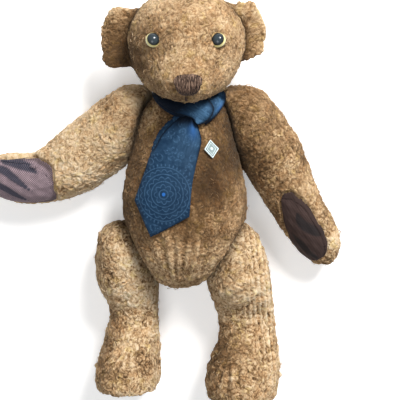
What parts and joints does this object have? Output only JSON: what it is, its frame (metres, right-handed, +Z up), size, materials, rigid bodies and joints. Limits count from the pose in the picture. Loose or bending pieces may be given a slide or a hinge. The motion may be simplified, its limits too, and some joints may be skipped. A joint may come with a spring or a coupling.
{
  "type": "teddy bear",
  "caption": "Worn, disc-jointed teddy bear lying on its back: knitted boucle skin, woven paw pads, glass eyes, stitched nose, silk necktie and a small diamond lapel pin.",
  "frame": {"origin": "on the surface the bear lies on, below the middle of its bounding box", "axes": "+X to the bear's own left, +Y from its feet towards its head, +Z up out of its chest"},
  "size_m": [0.3702, 0.4202, 0.1253],
  "materials": {
    "boucle": "matte",
    "stuffing": "matte",
    "pad_twill": "matte",
    "eye_glass": "gloss",
    "nose_thread": "satin",
    "tie_silk": "satin",
    "pin_metal": "satin",
    "hardboard": "matte",
    "joint_steel": "satin"
  },
  "bodies": {
    "torso": {"torso_skin": "boucle", "torso_stuffing": "stuffing", "necktie": "tie_silk", "lapel_pin": "pin_metal", "neck_disc_torso": "hardboard", "neck_washer_torso": "joint_steel", "shoulder_left_disc_torso": "hardboard", "shoulder_left_washer_torso": "joint_steel", "shoulder_right_disc_torso": "hardboard", "shoulder_right_washer_torso": "joint_steel", "hip_left_disc_torso": "hardboard", "hip_left_washer_torso": "joint_steel", "hip_right_disc_torso": "hardboard", "hip_right_washer_torso": "joint_steel"},
    "head": {"head_skin": "boucle", "head_stuffing": "stuffing", "ear_left": "boucle", "ear_right": "boucle", "eye_left": "eye_glass", "eye_right": "eye_glass", "nose_stitching": "nose_thread", "mouth_stitch": "nose_thread", "neck_disc_limb": "hardboard", "neck_washer_limb": "joint_steel", "neck_bolt": "joint_steel", "neck_nut": "joint_steel"},
    "arm_left": {"arm_left_skin": "boucle", "arm_left_paw_pad": "pad_twill", "arm_left_stuffing": "stuffing", "shoulder_left_disc_limb": "hardboard", "shoulder_left_washer_limb": "joint_steel", "shoulder_left_bolt": "joint_steel", "shoulder_left_nut": "joint_steel"},
    "arm_right": {"arm_right_skin": "boucle", "arm_right_paw_pad": "pad_twill", "arm_right_stuffing": "stuffing", "shoulder_right_disc_limb": "hardboard", "shoulder_right_washer_limb": "joint_steel", "shoulder_right_bolt": "joint_steel", "shoulder_right_nut": "joint_steel"},
    "leg_left": {"leg_left_skin": "boucle", "leg_left_foot_pad": "pad_twill", "leg_left_stuffing": "stuffing", "hip_left_disc_limb": "hardboard", "hip_left_washer_limb": "joint_steel", "hip_left_bolt": "joint_steel", "hip_left_nut": "joint_steel"},
    "leg_right": {"leg_right_skin": "boucle", "leg_right_foot_pad": "pad_twill", "leg_right_stuffing": "stuffing", "hip_right_disc_limb": "hardboard", "hip_right_washer_limb": "joint_steel", "hip_right_bolt": "joint_steel", "hip_right_nut": "joint_steel"}
  },
  "joints": [
    {"name": "neck", "type": "hinge", "parent": "torso", "child": "head", "pos_m": [0.0244, 0.11495, 0.046], "axis": [0, 0.9781, 0.208], "range_deg": [-30, 30]},
    {"name": "shoulder_left", "type": "hinge", "parent": "torso", "child": "arm_left", "pos_m": [0.0664, 0.07795, 0.04], "axis": [-0.9466, -0.2518, 0.2014], "range_deg": [0, 120]},
    {"name": "shoulder_right", "type": "hinge", "parent": "torso", "child": "arm_right", "pos_m": [-0.0196, 0.07795, 0.04], "axis": [-0.9466, 0.2518, -0.2014], "range_deg": [0, 120]},
    {"name": "hip_left", "type": "hinge", "parent": "torso", "child": "leg_left", "pos_m": [0.0614, -0.04705, 0.042], "axis": [-0.8366, 0.5478, 0], "range_deg": [0, 120]},
    {"name": "hip_right", "type": "hinge", "parent": "torso", "child": "leg_right", "pos_m": [-0.0201, -0.04505, 0.041], "axis": [-0.8883, -0.4592, 0], "range_deg": [0, 120]}
  ]
}
